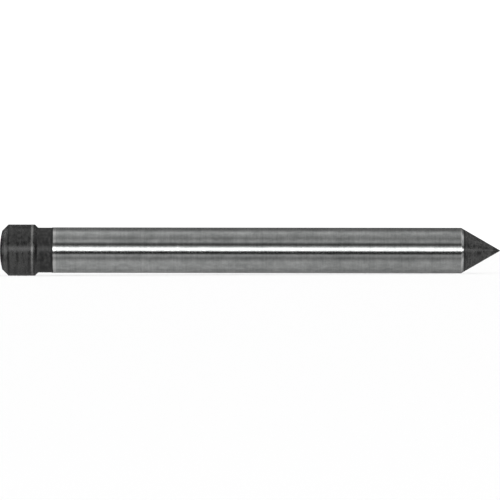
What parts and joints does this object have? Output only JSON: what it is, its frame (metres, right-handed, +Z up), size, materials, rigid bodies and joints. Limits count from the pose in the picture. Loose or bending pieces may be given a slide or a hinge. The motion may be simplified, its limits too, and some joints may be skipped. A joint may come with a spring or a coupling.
{
  "type": "pilot pin",
  "caption": "Headed steel pilot pin with a crowned black head, a ground cylindrical shank and a 60 degree point.",
  "frame": {"origin": "on the axis, at the centre of the small flat on the crowned rear end", "axes": "+X along the axis towards the point, +Z up; the pin is round about X"},
  "size_m": [0.088, 0.009, 0.009],
  "materials": {
    "pin_steel": "ground bright on the shank, black oxide as turned on the head, neck and point"
  },
  "bodies": {
    "root": {"pin": "pin_steel"}
  },
  "joints": []
}
